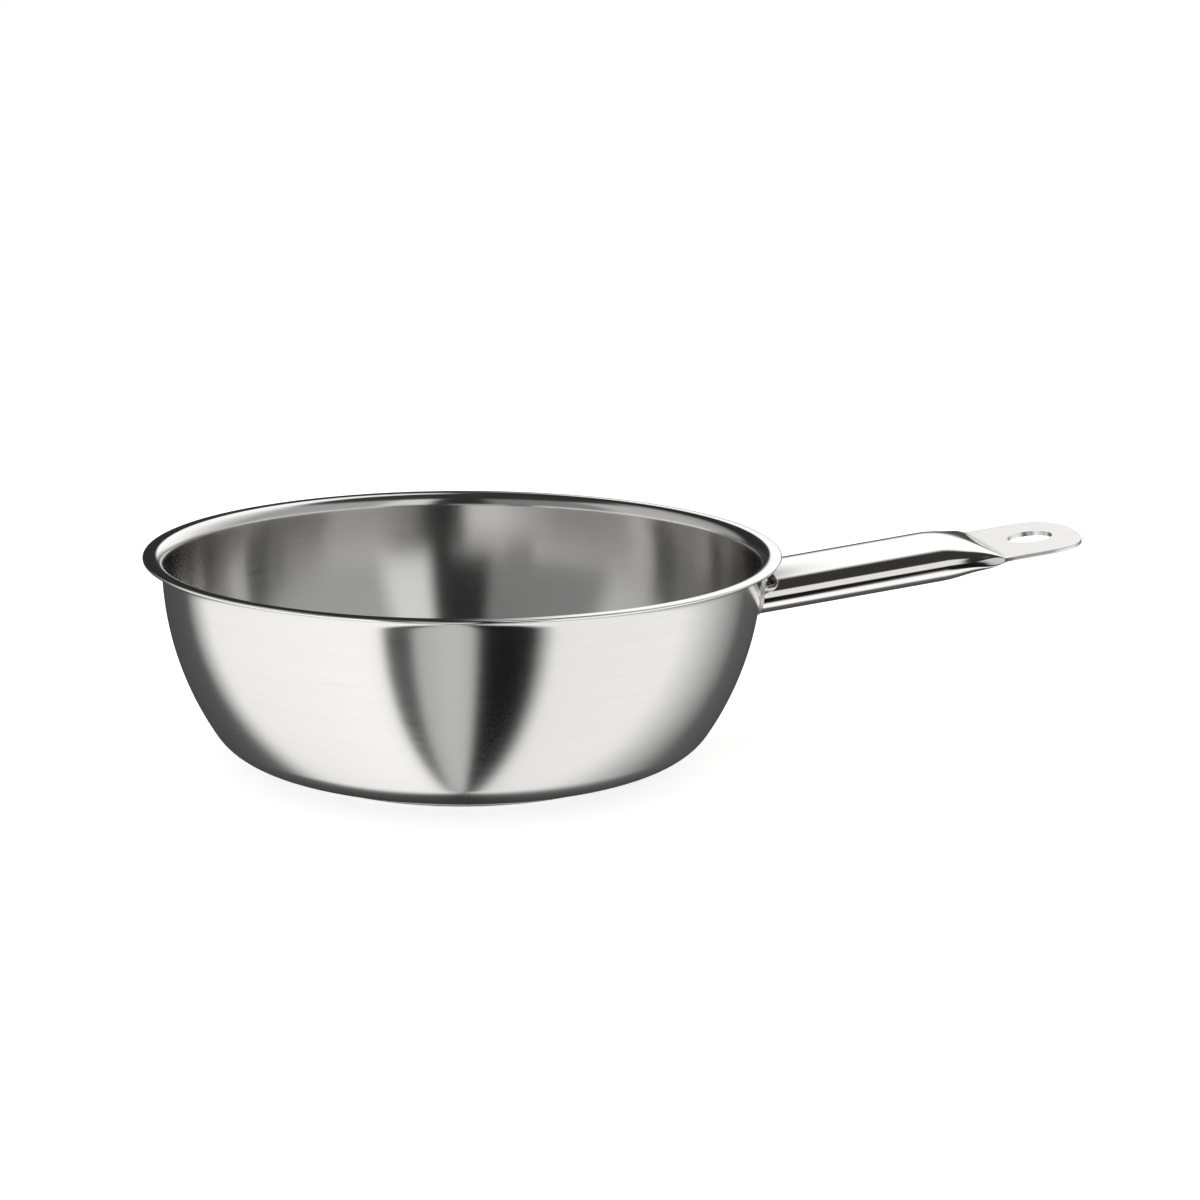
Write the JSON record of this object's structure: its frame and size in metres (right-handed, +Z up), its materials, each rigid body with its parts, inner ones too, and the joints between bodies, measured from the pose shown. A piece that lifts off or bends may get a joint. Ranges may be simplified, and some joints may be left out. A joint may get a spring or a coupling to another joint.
{
  "type": "saucier pan",
  "caption": "Stainless steel saucier pan with a bowed wall, a flared pouring rim, a sandwich base and a long welded tube handle with a hanging hole.",
  "frame": {"origin": "centre of the base's resting face", "axes": "+Z up along the pan's axis, +X out along the handle"},
  "size_m": [0.3156, 0.21, 0.0712],
  "materials": {
    "bowl_steel": "fine satin brushing round the pan, polished rim",
    "spreader_aluminium": "plain rolled",
    "cap_steel": "satin",
    "handle_steel": "mirror polished tube, satin tab",
    "weld_steel": "dressed weld"
  },
  "bodies": {
    "root": {"bowl": "bowl_steel", "heat_spreader": "spreader_aluminium", "base_cap": "cap_steel", "handle": "handle_steel", "handle_weld": "weld_steel"}
  },
  "joints": []
}
